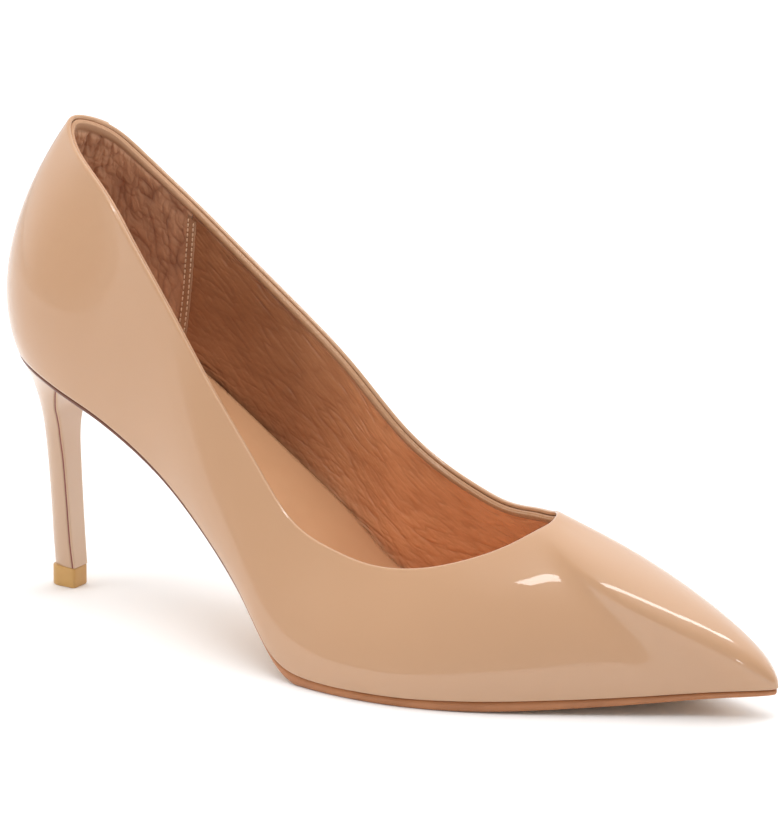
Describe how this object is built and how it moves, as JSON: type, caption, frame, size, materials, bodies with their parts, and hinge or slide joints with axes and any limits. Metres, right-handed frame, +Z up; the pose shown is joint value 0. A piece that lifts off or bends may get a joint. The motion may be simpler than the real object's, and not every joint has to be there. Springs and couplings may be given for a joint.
{
  "type": "high heel pump",
  "caption": "Pointed-toe patent pump for the right foot, slip-on, with a slender covered heel, leather lining, padded sock and thin leather outsole.",
  "frame": {"origin": "middle of the heel tip's ground face", "axes": "+X from heel to toe, +Y towards the inner side of the foot, +Z up; the shoe stands on z = 0"},
  "size_m": [0.2399, 0.0764, 0.134],
  "materials": {
    "patent_leather": "glossy patent, nude",
    "lining_leather": "smooth, lightly creased",
    "lining_suede": "napped suede",
    "sock_leather": "smooth, matt",
    "sole_leather": "smooth, waxed edge",
    "thread": "twisted thread",
    "tape": "woven tape",
    "stiffener": "pressed fibre sheet",
    "board": "fibre board",
    "foam": "soft foam",
    "felt": "felt",
    "steel": "tempered, dull",
    "heel_plastic": "moulded",
    "top_lift_plastic": "satin, golden tan"
  },
  "bodies": {
    "root": {"outer_upper": "patent_leather", "topline_tape": "tape", "heel_counter": "stiffener", "toe_puff": "stiffener", "vamp_lining": "lining_leather", "heel_lining": "lining_suede", "lining_seam_strips": "lining_leather", "lining_seam_stitches": "thread", "insole_board": "board", "tuck_board": "board", "steel_shank": "steel", "shank_rivets": "steel", "forefoot_filler": "felt", "sock_foam": "foam", "sock_lining": "sock_leather", "outsole": "sole_leather", "heel_block": "heel_plastic", "heel_cover": "patent_leather", "heel_breast_cover": "patent_leather", "heel_tube": "steel", "top_lift": "top_lift_plastic", "top_lift_pin": "steel", "heel_screw": "steel", "heel_nails": "steel"}
  },
  "joints": []
}
